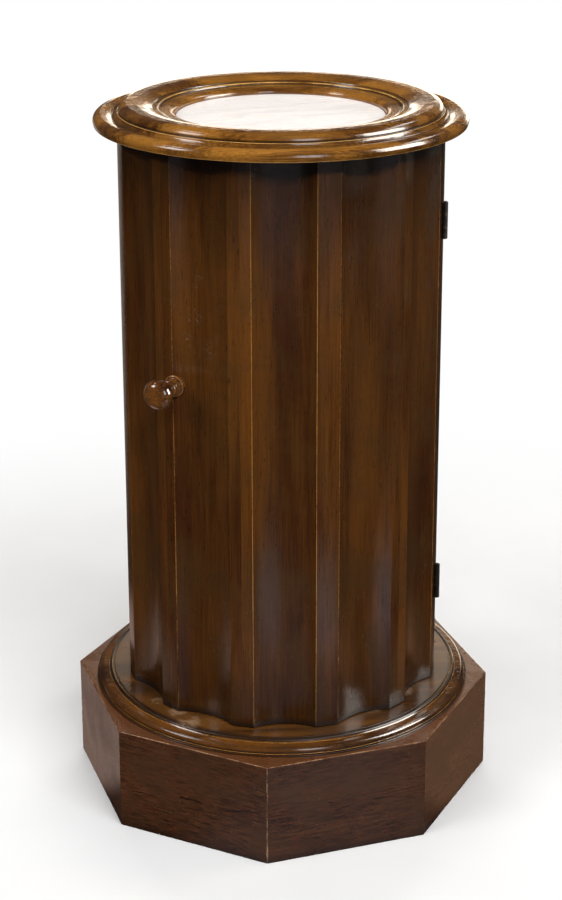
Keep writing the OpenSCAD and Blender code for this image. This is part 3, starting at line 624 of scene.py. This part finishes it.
# Old metal: bright where rubbed, dark and rough where tarnished
def metalMaterial(name, bright, tarnish, low, high):
    material, tree, shader = newMaterial(name)
    place = objectOf(tree)
    cloud, fine = noiseOf(tree, place, 160, 4, 0.65), noiseOf(tree, place, 1500, 3, 0.6)
    mask = stepOf(tree, plus(tree, cloud, times(tree, fine, 0.3)), low, high)
    fill(tree, shader.inputs, {"Base Color": mixOf(tree, mask, bright, tarnish),
                               "Roughness": stepOf(tree, mask, 0, 1, 0.32, 0.62),
                               "Metallic": stepOf(tree, mask, 0, 1, 1.0, 0.75),
                               "Normal": bumpOf(tree, fine, 0.25, 0.0002)})
    return material


# Plinth: eight mitred boards. plankStep tells the boards apart in the material. The upright corners are
# rubbed, the front one most; those light lines are partly painted highlights.
plinth = dict(width=418.0, height=110.6, thick=20.0, topRound=1.0, bottomRound=1.2, cornerRound=1.3,
              gap=0.05, rows=61, plankStep=0.61, cornerRubGlint=0.55, frontCorner=1.3, rubGlintReach=2.4, steps=7,
              guard=1.5)
top = dict(around=228, grain=-16.0, steps=9, guard=0.5, plank=5.3)

columnWood = woodMaterial("columnMahogany", columnLook)
plinthWood = woodMaterial("plinthMahogany", plinthLook)
baseWood = woodMaterial("baseMahogany", baseLook)
topWood = woodMaterial("topMahogany", topLook)
knobWood = woodMaterial("knobMahogany", knobLook)
insideFlat = woodMaterial("insidePineFlat", insideLook, marked=False)
insideUpright = woodMaterial("insidePineUpright", dict(insideLook, grainTurn=(0, 0, 0)), marked=False)
marble = marbleMaterial()
oldBrass = metalMaterial("oldBrass", (0.42, 0.30, 0.13), (0.035, 0.028, 0.022), 0.48, 0.72)
darkBrass = metalMaterial("darkBrass", (0.16, 0.12, 0.07), (0.018, 0.016, 0.015), 0.40, 0.62)
iron = metalMaterial("oldIron", (0.34, 0.33, 0.32), (0.09, 0.06, 0.045), 0.50, 0.75)
print("materials made")


# A board is its section, carried along its length between two mitre planes. Near a mitre the outer face
# draws back along a circle, so that the plinth's upright corners are rounded: drop = R - sqrt(R^2 - t^2).
def plinthBoard(number):
    apothem, inner = plinth["width"] / 2, plinth["width"] / 2 - plinth["thick"]
    corners = [(inner, 0, 0.3), (apothem, 0, plinth["bottomRound"]),
               (apothem, plinth["height"], plinth["topRound"]), (inner, plinth["height"], 0.3)]
    section, bend = roundCorners(corners, plinth["steps"], plinth["guard"])
    slant = math.tan(math.radians(22.5))
    share = np.sin(np.linspace(-np.pi / 2, np.pi / 2, plinth["rows"]))
    along = (section[:, :1] * slant - plinth["gap"]) * share[None]
    fromCorner = apothem * slant - np.abs(along)
    roundR = plinth["cornerRound"]
    past = np.clip(roundR * slant - fromCorner, 0, roundR * slant)
    drop = roundR - np.sqrt(roundR ** 2 - past ** 2)
    outer = np.clip((section[:, :1] - inner) / plinth["thick"], 0, 1) > 0.9
    out, height = np.broadcast_arrays(section[:, :1] - drop * outer, section[:, 1:])
    points = np.stack([along, -out, height], -1).reshape(-1, 3)
    count, rows = len(section), plinth["rows"]
    index = np.arange(count * rows).reshape(count, rows)
    faces = [gridFaces(count, rows, True, False), index[:, 0][None], index[::-1, -1][None]]
    frontSide = {8: 1, 1: -1}.get(number, 0)
    strength = np.where(np.sign(along) == frontSide, plinth["frontCorner"], plinth["cornerRubGlint"])
    cornerBend = np.clip(1 - fromCorner / plinth["rubGlintReach"], 0, 1) * outer * strength
    marks = dict(bend=np.maximum(np.broadcast_to(bend[:, None], along.shape), cornerBend).reshape(-1),
                 rubGlint=np.ones(len(points)), plank=np.full(len(points), number * plinth["plankStep"]),
                 grainPlace=np.stack([points[:, 2], -points[:, 1], points[:, 0]], -1) * mm)
    makePiece(f"plinthBoard{number}", turnedAbout(points, (number - 1) * 45), faces, "carcase",
              [f"plinth_board_{number}"], plinthWood, marks)


for number in range(1, 9):
    plinthBoard(number)
print("plinth built")


# Turned base. From the middle out: flat floor, quirk, narrow bead, step, wide roll and a thin fillet.
base = dict(around=216, grain=-14.0, steps=7, guard=0.5, plank=3.7)
baseCorners = [(0, 123.4, 0), (150, 123.4, 0), (185.6, 123.4, 0.3), (186.0, 121.6, 0.3),
               (186.5, 121.6, 0.3), (186.9, 123.1, 1.3), (189.9, 123.1, 1.4), (190.2, 120.9, 0.35),
               (191.0, 119.9, 0.4), (192.2, 119.9, 2.4), (200.4, 119.6, 4.4), (202.0, 113.4, 1.6),
               (200.8, 112.5, 0.3), (204.3, 112.3, 0.4), (204.3, 110.6, 0.3), (0, 110.6, 0)]


# Level grain, turned by some degrees about the upright axis
def flatGrain(points, degrees):
    turned = turnedAbout(points, -degrees)
    return np.stack([turned[:, 1], turned[:, 2], turned[:, 0]], -1) * mm


# A turned board whose grain runs flat, from its corners and its settings
def turnedBoard(name, node, material, corners, shape, closed):
    rounded = roundCorners(corners, shape["steps"], shape["guard"], closed)
    section, bend, crevice = findCrevices(*rounded, closed)
    points, faces = turnSection(section, shape["around"], closed)
    around = shape["around"]
    marks = dict(bend=roundTurn(bend, around, closed), crevice=roundTurn(crevice, around, closed),
                 plank=np.full(len(points), shape["plank"]), grainPlace=flatGrain(points, shape["grain"]))
    makePiece(name, points, faces, "carcase", [node], material, marks)


turnedBoard("turnedBase", "turned_base", baseWood, baseCorners, base, closed=False)
print("base built")


# Fluted staves. The hinge values say where the side faces step back to take a leaf.
stave = dict(radius=169.2, flute=11.4, share=0.73, inner=141.0, arris=0.8, turn=-2.6, foot=123.4,
             head=727.0, doorFoot=124.5, doorHead=725.6, edgeGap=0.17, joint=0.01, endRound=0.2,
             plankStep=0.83, doorPlank=9)
hinge = dict(heights=(233.5, 633.5), length=38.0, depth=19.3, leaf=1.35, axisOut=171.9, spare=1.2)
pocket = dict(turn=30.0, start=-60.0, back=141.1, low=462.5, high=494.5)


# Section of one stave, x across and y out from the body's axis. The fillets lie on the body's circle, the
# flute is a circle through both arrises and its lowest point, and the sides are radial planes.
def staveSection(trimLeft, trimRight):
    half, fluteHalf = math.radians(15), math.radians(15) * stave["share"]
    chordHalf, chordOut = stave["radius"] * math.sin(fluteHalf), stave["radius"] * math.cos(fluteHalf)
    sag = chordOut - (stave["radius"] - stave["flute"])
    fluteR = (chordHalf ** 2 + sag ** 2) / (2 * sag)
    centreOut = stave["radius"] - stave["flute"] + fluteR
    x = np.linspace(-chordHalf, chordHalf, 43)[1:-1]
    flute = np.stack([x, centreOut - np.sqrt(fluteR ** 2 - x ** 2), np.zeros_like(x)], -1)
    angle = np.linspace(fluteHalf, half, 7)[:, None]
    right = stave["radius"] * np.hstack([np.sin(angle), np.cos(angle), np.zeros_like(angle)])
    right[0, 2] = stave["arris"]
    left = right[::-1] * (-1, 1, 1)
    innerX = stave["inner"] * math.tan(half)
    corners = np.vstack([left, flute, right, [[innerX, stave["inner"], 0], [-innerX, stave["inner"], 0]]])
    rightWay = np.array([math.cos(half), -math.sin(half)])
    leftWay = rightWay * (-1, 1)
    lean = corners[:, 0] / corners[:, 1]
    corners[lean > math.tan(half) - 1e-6, :2] -= rightWay * max(trimRight, stave["joint"])
    corners[lean < -math.tan(half) + 1e-6, :2] -= leftWay * max(trimLeft, stave["joint"])
    return roundCorners(corners[::-1], 5, 0.6)


# The latch's tongue turns in a pocket in the last fixed stave. Its floor lies in the plane of the next
# stave's inner face, so the pocket is a wedge. Adds two points to the inner face where the wedge starts,
# and returns how far every point moves inside the pocket.
def pocketPush(section, bend):
    a = math.radians(pocket["turn"])
    along, out = np.array([math.cos(a), -math.sin(a)]), np.array([math.sin(a), math.cos(a)])
    corner = int(np.argmax(np.where(section[:, 1] < stave["inner"] + 0.5, section[:, 0], -1e9)))
    startX = (pocket["start"] + stave["inner"] * math.sin(a)) / math.cos(a)
    added = np.array([[startX - 0.02, stave["inner"]], [startX, stave["inner"]]])
    section, bend = np.insert(section, corner, added, 0), np.insert(bend, corner, 0.0)
    bend = np.insert(bend, corner, 0.0)
    deep = pocket["back"] - section @ out
    inside = (deep > 0) & (section @ along > pocket["start"] - 0.005)
    return section, bend, np.where(inside, deep, 0)[:, None] * out


# The section is carried up the stave; between the ends of a hinge its side face steps back by a leaf's
# thickness: push = -(leaf + spare + distance to the side). leafSide is that side, -1 or 1. rubGlints are
# how far the left and right arris are rubbed; the light lines this draws are partly painted highlights.
# The stave that is cut has the latch's pocket.
def staveBlock(name, node, azimuth, body, levels, trims, leafSide, plank, rubGlints, cut=False):
    section, bend = staveSection(*trims)
    z0, z1 = levels
    steps = [h + side * hinge["length"] / 2 for h in hinge["heights"] for side in (-1, 1) if leafSide]
    if cut:
        section, bend, pocketShift = pocketPush(section, bend)
        steps += [pocket["low"], pocket["high"]]
    levels = [z0, z0 + 0.5, z0 + 1.2, *np.linspace(z0 + 20, z1 - 20, 12), z1 - 1.2, z1 - 0.5, z1]
    levels = np.array(sorted(levels + [step + side for step in steps for side in (-0.02, 0.02)]))
    loops = np.repeat(section[None], len(levels), 0)
    if leafSide:
        half, spare = math.radians(15), hinge["spare"]
        sideWay = np.array([leafSide * math.cos(half), -math.sin(half)])
        radial = np.array([leafSide * math.sin(half), math.cos(half)])
        toSide, out = section @ sideWay, section @ radial
        nearSide = (toSide > -spare) & (out > hinge["axisOut"] - hinge["depth"] - 2.7)
        fromHinges = np.abs(levels[:, None] - np.array(hinge["heights"]))
        inHinge = (fromHinges < hinge["length"] / 2).any(1)
        push = np.where(nearSide, -(hinge["leaf"] + spare + toSide), 0)
        loops = loops + inHinge[:, None, None] * push[None, :, None] * sideWay
    if cut:
        inPocket = (levels > pocket["low"]) & (levels < pocket["high"])
        loops = loops + inPocket[:, None, None] * pocketShift[None]
    shrink = np.zeros(len(levels))
    shrink[[0, -1]] = stave["endRound"]
    away = section - np.array([0, (stave["radius"] + stave["inner"]) / 2])
    loops = loops - shrink[:, None, None] * (away / np.linalg.norm(away, axis=1)[:, None])[None]
    count, shape = len(section), loops.shape[:2]
    points = np.stack([loops[..., 0], -loops[..., 1], np.broadcast_to(levels[:, None], shape)], -1)
    points = points.reshape(-1, 3)
    index = np.arange(len(levels) * count).reshape(len(levels), count)
    faces = [gridFaces(len(levels), count, False, True), index[0][None], index[-1, ::-1][None]]
    perLoop = {"bend": bend, "rubGlint": np.where(section[:, 0] < 0, *rubGlints),
               "hollow": np.clip((stave["radius"] - np.linalg.norm(section, axis=1)) / stave["flute"], 0, 1),
               "inside": np.clip((stave["inner"] + 3 - section[:, 1]) / 2, 0, 1)}
    marks = {mark: np.broadcast_to(values, shape).reshape(-1) for mark, values in perLoop.items()}
    marks.update(plank=np.full(len(points), plank), grainPlace=points * mm)
    makePiece(name, turnedAbout(points, azimuth), faces, body, [node], columnWood, marks)


# The first and the last stave of a run stand back from the gap beside the door
def edgeTrims(number, last):
    return [stave["edgeGap"] if number == end else 0 for end in (1, last)]


# How far each stave's left and right arris are rubbed; the light lines are partly painted highlights.
carcaseRubGlints = [(0.9, 0.5), (0.4, 0.6), (0.7, 0.3), (0.5, 0.5), (0.3, 0.7), (0.6, 0.4), (0.4, 0.3),
               (0.5, 0.3)]
doorRubGlints = [(0.75, 0.35), (1.0, 1.0), (0.75, 0.2), (0.45, 0.9)]
for number, rubGlints in enumerate(carcaseRubGlints, 1):
    staveBlock(f"carcaseStave{number}", f"carcase_stave_{number}", stave["turn"] + 45 + number * 30,
               "carcase", (stave["foot"], stave["head"]), edgeTrims(number, 8), -1 if number == 1 else 0,
               number * stave["plankStep"], rubGlints, cut=number == 8)
for number, rubGlints in enumerate(doorRubGlints, 1):
    staveBlock(f"doorStave{number}", f"door_stave_{number}", stave["turn"] - 75 + number * 30, "door",
               (stave["doorFoot"], stave["doorHead"]), edgeTrims(number, 4), 1 if number == 4 else 0,
               stave["doorPlank"] + number * stave["plankStep"], rubGlints)
print("staves built")


# Top moulding, from the outer underside round: roll, groove, cove, crest, slope, quirk, bead, lip, rebate
topCorners = [(107.8, 722.8, 0.3), (137.5, 722.8, 0.4), (137.5, 727.0, 0.3), (187.2, 727.0, 0.5),
              (191.2, 727.7, 1.3), (192.2, 732.2, 5.0), (191.0, 737.6, 6.0), (184.5, 739.6, 10),
              (177.5, 738.7, 8), (172.9, 735.9, 0.5), (171.9, 736.0, 0.3), (169.6, 736.7, 4.0),
              (168.0, 739.6, 4.0), (167.7, 741.3, 0.55), (165.4, 741.4, 0.3), (165.9, 742.8, 1.4),
              (164.8, 747.9, 6.5), (157.5, 750.0, 12), (147.5, 750.0, 24), (138.0, 748.7, 24),
              (131.4, 745.0, 0.8), (130.6, 743.3, 0.25), (129.6, 743.2, 0.3), (129.2, 744.0, 1.4),
              (125.2, 744.0, 1.6), (124.6, 742.0, 0.3), (122.9, 741.9, 0.3), (121.0, 741.6, 0.4),
              (113.0, 741.4, 6.0), (108.0, 739.2, 5.4), (107.8, 732.0, 0.5)]


def marbleDisc():
    section, bend = roundCorners(marbleLook["corners"], 5, 0.6, closed=False)
    points, faces = turnSection(section, marbleLook["around"], closed=False)
    makePiece("marbleTop", points, faces, "carcase", ["marble_top"], marble, {})


turnedBoard("topMoulding", "top_moulding", topWood, topCorners, top, closed=True)
marbleDisc()
print("top built")


# Knob, from the door out: collar, neck bead, waist and head
knob = dict(seat=161.0, across=-30.0, height=486.5, azimuth=-47.6, around=96, plank=7.9)
knobCorners = [(0, 0.4, 0), (10.2, 0.4, 0.4), (10.2, 4.4, 0.3), (11.2, 4.6, 1.0), (11.2, 7.2, 1.3),
               (8.6, 7.6, 0.6), (6.4, 11.0, 3.0), (6.3, 13.6, 0.4), (8.6, 14.0, 1.2), (8.6, 17.8, 1.4),
               (6.0, 18.4, 0.5), (5.5, 22.0, 3.0), (7.8, 27.0, 5.0), (14.8, 28.8, 6.0), (15.9, 38.0, 9.0),
               (10.5, 43.8, 10.0), (0, 44.4, 0)]


def onKnobAxis(points):
    x, y, z = points.T
    placed = np.stack([x + knob["across"], -z - knob["seat"], y + knob["height"]], -1)
    return turnedAbout(placed, knob["azimuth"])


def doorKnob():
    section, bend = roundCorners(knobCorners, 9, 0.4, closed=False)
    points, faces = turnSection(section, knob["around"], closed=False)
    marks = dict(bend=roundTurn(bend, knob["around"], False), plank=np.full(len(points), knob["plank"]),
                 grainPlace=points * mm)
    makePiece("turnedKnob", onKnobAxis(points), faces, "latch", ["door_knob"], knobWood,
              marks)


doorKnob()
print("knob built")

# Nodes whose shape is kept take a finish, by how their names start
finishes = [(("plinth_deck", "cupboard_", "shelf", "door_ledge"), insideFlat),
            (("plinth_glue", "door_stop"), insideUpright),
            (("hinge_lower", "hinge_upper"), darkBrass),
            (("hinge_screws", "latch_guide", "guide", "latch_tongue", "latch_keeper", "keeper"), oldBrass),
            (("base_screws", "top_screws", "ledge_screws", "latch_spindle", "latch_nut"), iron)]
for starts, finish in finishes:
    for name in nodes:
        if name.startswith(starts):
            nodes[name].data.materials.clear()
            nodes[name].data.materials.append(finish)
print("carried-over nodes finished")


# Plain pale floor. Seen directly it fades to white away from the object; in reflections it is a dim
# blue-grey sheet before the object, and a lighter one behind it. Ways are azimuths, and steps are from,
# to and the values there.
stage = dict(side=6.0, pale=(0.88, 0.88, 0.88), white=(0.45, 1.15), bounce=(0.25, 0.25, 0.25), facing=-10.6,
             left=-124.0, right=73.0, patchWay=3.3, near=(0.16, 0.20, 0.25), far=(0.60, 0.54, 0.60),
             behind=(0.44, 0.38, 0.33), leftGlow=(0.52, 0.37, 0.31), rightGlow=(0.36, 0.20, 0.115),
             patch=(0.55, 0.70, 0.90), dark=(0.02, 0.02, 0.02), front=(0.74, 0.92), back=(-0.86, -0.95),
             beside=(0.74, 0.90), close=(0.45, 0.60, 1.0, 0.0), nearFrom=(0.60, 0.95, 1.0, 0.1),
             farFrom=(2.00, 2.90), farEnd=(3.10, 3.30), patchTurn=(0.955, 0.99), patchFrom=(0.55, 0.62),
             patchEnd=(0.75, 0.95, 1.0, 0.0))


def makeFloor():
    mesh = bpy.data.meshes.new("studioFloor")
    s = stage["side"]
    mesh.from_pydata([(-s, -s, 0), (s, -s, 0), (s, s, 0), (-s, s, 0)], [], [(0, 1, 2, 3)])
    material, tree, shader = newMaterial("paleFloor")
    coords = objectOf(tree)
    path = addNode(tree, "LightPath").outputs

    def stepped(value, name):
        return stepOf(tree, value, *stage[name])

    distance = vectorOf(tree, "LENGTH", coords, output=1)
    outward = vectorOf(tree, "NORMALIZE", coords)
    angles = [math.radians(stage[way]) for way in ("facing", "left", "right", "patchWay")]
    ways = [(math.sin(angle), -math.cos(angle), 0) for angle in angles]
    toFront, toLeft, toRight, toPatch = [dotOf(tree, outward, way) for way in ways]
    close = stepped(distance, "close")
    cloud = stepOf(tree, noiseOf(tree, coords, 3, 3), 0.3, 0.7, 0.94, 1.0)
    pale = mixOf(tree, 1.0, stage["pale"], cloud, "MULTIPLY")
    seen = mixOf(tree, path["Is Camera Ray"], stage["bounce"], pale)
    fill(tree, shader.inputs, {"Base Color": seen, "Roughness": 0.9, "Specular IOR Level": 0.1})
    front = mixOf(tree, stepped(distance, "nearFrom"), (0, 0, 0), stage["near"])
    front = mixOf(tree, stepped(distance, "farFrom"), front, stage["far"])
    front = mixOf(tree, stepped(distance, "farEnd"), front, stage["dark"])
    sheen = mixOf(tree, stepped(toFront, "front"), stage["dark"], front)
    sheen = mixOf(tree, stepped(toFront, "back"), sheen, stage["behind"])
    for toward, glow in ((toLeft, "leftGlow"), (toRight, "rightGlow")):
        sheen = mixOf(tree, times(tree, stepped(toward, "beside"), close), sheen, stage[glow])
    patch = times(tree, stepped(toPatch, "patchTurn"), stepped(distance, "patchFrom"))
    patch = times(tree, patch, stepped(distance, "patchEnd"))
    sheen = mixOf(tree, patch, sheen, stage["patch"])
    emission = addNode(tree, "Emission")
    socketOf(tree, emission.inputs["Color"], mixOf(tree, path["Is Camera Ray"], sheen, (1, 1, 1)))
    away = times(tree, path["Is Camera Ray"], stepped(distance, "white"))
    mixer = addNode(tree, "MixShader")
    socketOf(tree, mixer.inputs[0], mathOf(tree, "MAXIMUM", path["Is Glossy Ray"], away))
    tree.links.new(shader.outputs[0], mixer.inputs[1])
    tree.links.new(emission.outputs[0], mixer.inputs[2])
    tree.links.new(mixer.outputs[0], tree.nodes["Material Output"].inputs["Surface"])
    mesh.materials.append(material)
    floor = addObject("studioFloor", mesh)


# name, kind, azimuth from the camera, elevation, distance, width, height, brightness and colour. The
# first kind lights the surfaces, and the second is only what they mirror.
lamps = [("key", "light", 22, 40, 3.6, 3.2, 0.28, 39, (0.97, 0.98, 1.0)),
         ("fillLeft", "light", -55, 34, 3.2, 1.6, 0.5, 14.5, (1.0, 0.97, 0.93)),
         ("overhead", "light", 0, 80, 2.2, 0.7, 0.7, 8.6, (1.0, 0.98, 0.95)),
         ("fillRight", "light", 100, 32, 2.6, 0.6, 0.6, 5.6, (1.0, 0.86, 0.64)),
         ("fillBack", "light", 182, 36, 3.2, 2.8, 0.4, 14.0, (1.0, 0.98, 0.96)),
         ("window", "mirrored", 17, 16.3, 3.6, 0.95, 1.5, 5, (0.76, 0.88, 1.0)),
         ("panelRight", "mirrored", 76, 18.7, 2.6, 1.5, 1.5, 18, (1.0, 0.95, 0.88)),
         ("upperRight", "mirrored", 114, 45, 2.6, 1.5, 0.35, 6, (1.0, 0.97, 0.93)),
         ("panelLeft", "mirrored", -68, 30, 2.6, 0.7, 0.9, 9, (0.98, 0.98, 1.0)),
         ("upperLeft", "mirrored", -88, 54, 2.6, 0.5, 0.3, 7, (0.94, 0.97, 1.0)),
         ("back", "mirrored", 171, 5.6, 2.6, 1.8, 0.76, 4.2, (1.0, 0.84, 0.66))]
room = dict(middle=(0, 0, 0.45), lit=(0.105, 0.11, 0.12), mirrored=(0.035, 0.037, 0.042))


def makeLights():
    for name, kind, azimuth, elevation, distance, width, height, glow, colour in lamps:
        data = bpy.data.lights.new(name, "AREA")
        data.shape, data.size, data.size_y, data.color = "RECTANGLE", width, height, colour
        data.energy = glow * math.pi * width * height
        lamp = addObject(name, data)
        a, e = math.radians(azimuth + camera["turn"][2]), math.radians(elevation)
        away = Vector((math.sin(a) * math.cos(e), -math.cos(a) * math.cos(e), math.sin(e)))
        lamp.location = Vector(room["middle"]) + away * distance
        lamp.rotation_mode = "QUATERNION"
        lamp.rotation_quaternion = away.to_track_quat("Z", "Y")
        lamp.visible_camera = False
        lamp.visible_glossy, lamp.visible_diffuse = kind == "mirrored", kind == "light"
    world = bpy.data.worlds.new("paleRoom")
    world.use_nodes = True
    tree = world.node_tree
    path = addNode(tree, "LightPath").outputs
    unseen = mixOf(tree, path["Is Glossy Ray"], room["lit"], room["mirrored"])
    seen = mixOf(tree, path["Is Camera Ray"], unseen, (1, 1, 1))
    socketOf(tree, tree.nodes["Background"].inputs["Color"], seen)
    bpy.context.scene.world = world


camera = dict(place=(-0.668967, -1.981379, 1.167483), turn=(72.37786, 0.09927, -18.68278), lens=83.1075,
              shift=-120 / 900)


def makeCamera():
    data = bpy.data.cameras.new("photoCamera")
    data.sensor_fit, data.sensor_width, data.lens, data.shift_y = "AUTO", 36, camera["lens"], camera["shift"]
    data.clip_start, data.clip_end = 0.05, 60
    view = addObject("photoCamera", data)
    view.location = camera["place"]
    view.rotation_euler = [math.radians(v) for v in camera["turn"]]
    bpy.context.scene.camera = view


makeFloor()
makeLights()
makeCamera()
bpy.context.scene.view_settings.view_transform = "Standard"
print("stage ready")
